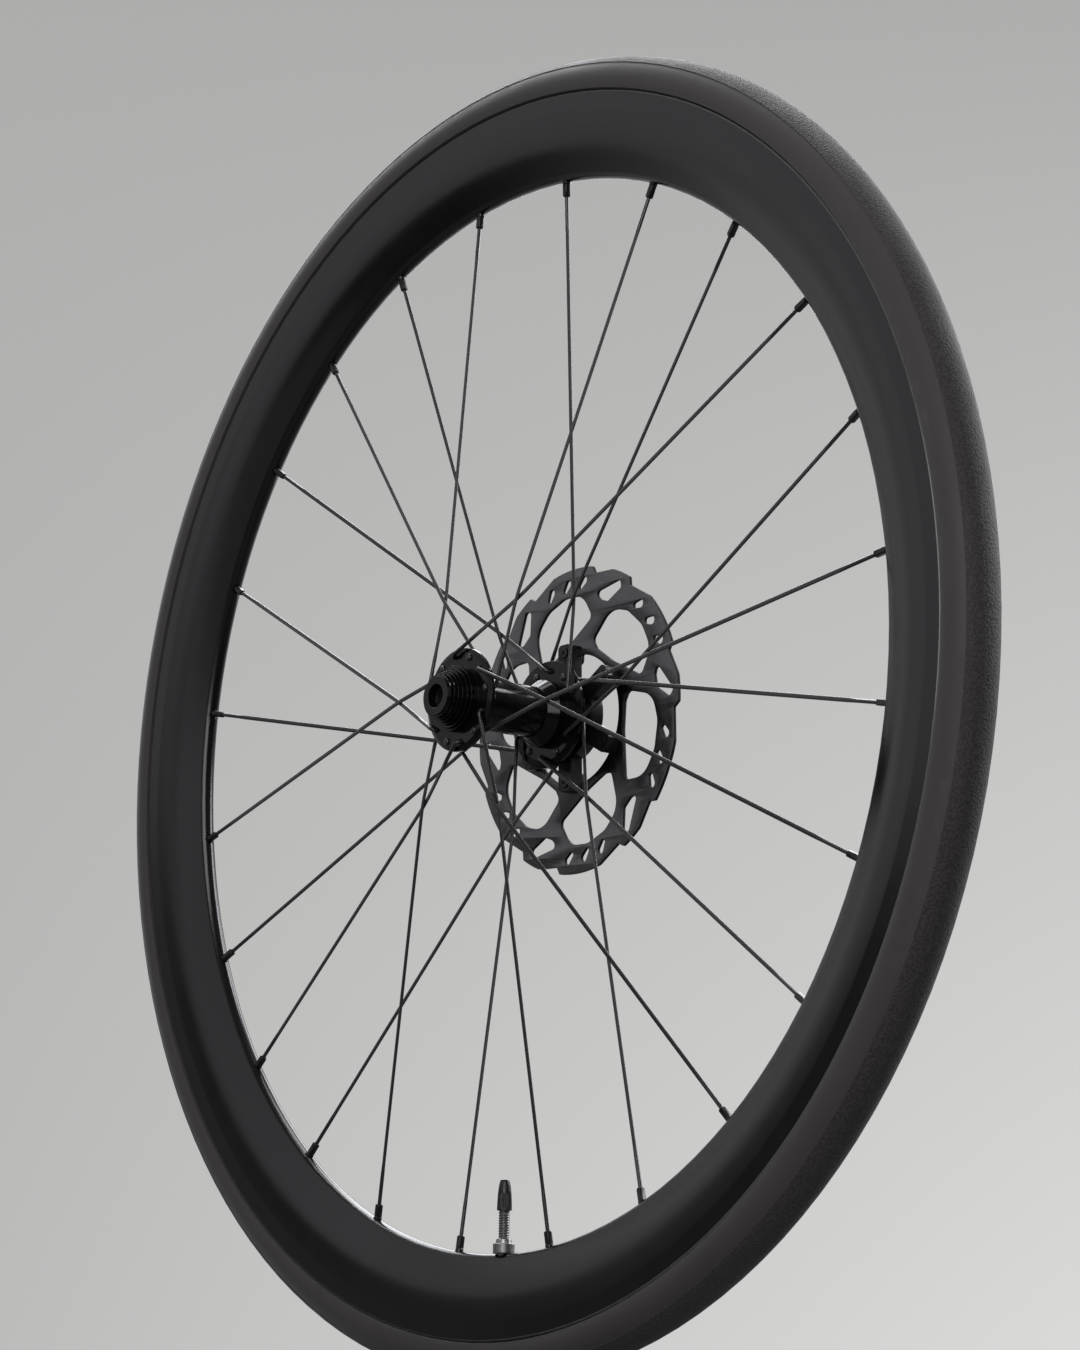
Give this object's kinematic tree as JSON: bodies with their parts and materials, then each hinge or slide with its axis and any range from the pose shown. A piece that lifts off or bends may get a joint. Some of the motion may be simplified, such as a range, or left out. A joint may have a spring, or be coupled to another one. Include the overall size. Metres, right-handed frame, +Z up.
{
  "type": "bicycle front wheel",
  "caption": "Spoked front bicycle wheel with a deep hollow rim, fitted tyre, capped valve, disc hub and vented brake rotor, turning on a thru-axle sleeve.",
  "frame": {"origin": "centre of the wheel: on the axle's axis, midway between the two end faces of the hub", "axes": "+Y along the axle towards the brake rotor, the rider's left; +X forward; +Z up, with the valve at the bottom"},
  "size_m": [0.6724, 0.1, 0.6724],
  "materials": {
    "rim_carbon": "matte carbon-fibre laminate with a faint blue cast",
    "tyre_rubber": "warm dark grey rubber, matte, with a paler worn tread",
    "spoke_black": "black-coated stainless steel, half gloss",
    "black_alloy": "black anodised aluminium, satin",
    "hub_black": "near-black polished anodised aluminium",
    "alloy": "bare turned aluminium",
    "bearing_steel": "ground steel",
    "rotor_steel": "dark grey ground stainless steel",
    "seal_rubber": "black moulded rubber",
    "cap_plastic": "black moulded plastic"
  },
  "bodies": {
    "axle": {"axle_tube": "alloy", "end_cap_near": "hub_black", "end_cap_disc": "hub_black", "bearing_inner_ring_near": "bearing_steel", "bearing_inner_ring_disc": "bearing_steel"},
    "wheel": {"rim": "rim_carbon", "tyre": "tyre_rubber", "spoke_nipples": "black_alloy", "hub_shell": "hub_black", "bearing_outer_ring_near": "bearing_steel", "bearing_outer_ring_disc": "bearing_steel", "bearing_seals_near": "seal_rubber", "bearing_seals_disc": "seal_rubber", "brake_rotor": "rotor_steel", "rotor_carrier": "black_alloy", "rotor_rivets": "black_alloy", "rotor_lock_ring": "black_alloy", "valve_stem": "alloy", "valve_grommet": "seal_rubber", "valve_lock_nut": "alloy", "valve_core": "alloy", "valve_cap": "cap_plastic", "spoke_near_01": "spoke_black", "spoke_near_02": "spoke_black", "spoke_near_03": "spoke_black", "spoke_near_04": "spoke_black", "spoke_near_05": "spoke_black", "spoke_near_06": "spoke_black", "spoke_near_07": "spoke_black", "spoke_near_08": "spoke_black", "spoke_near_09": "spoke_black", "spoke_near_10": "spoke_black", "spoke_near_11": "spoke_black", "spoke_near_12": "spoke_black", "spoke_disc_01": "spoke_black", "spoke_disc_02": "spoke_black", "spoke_disc_03": "spoke_black", "spoke_disc_04": "spoke_black", "spoke_disc_05": "spoke_black", "spoke_disc_06": "spoke_black", "spoke_disc_07": "spoke_black", "spoke_disc_08": "spoke_black", "spoke_disc_09": "spoke_black", "spoke_disc_10": "spoke_black", "spoke_disc_11": "spoke_black", "spoke_disc_12": "spoke_black"}
  },
  "joints": [
    {"name": "wheel_spin", "type": "hinge", "parent": "axle", "child": "wheel", "pos_m": [0, 0, 0], "axis": [0, 1, 0], "continuous": true}
  ]
}
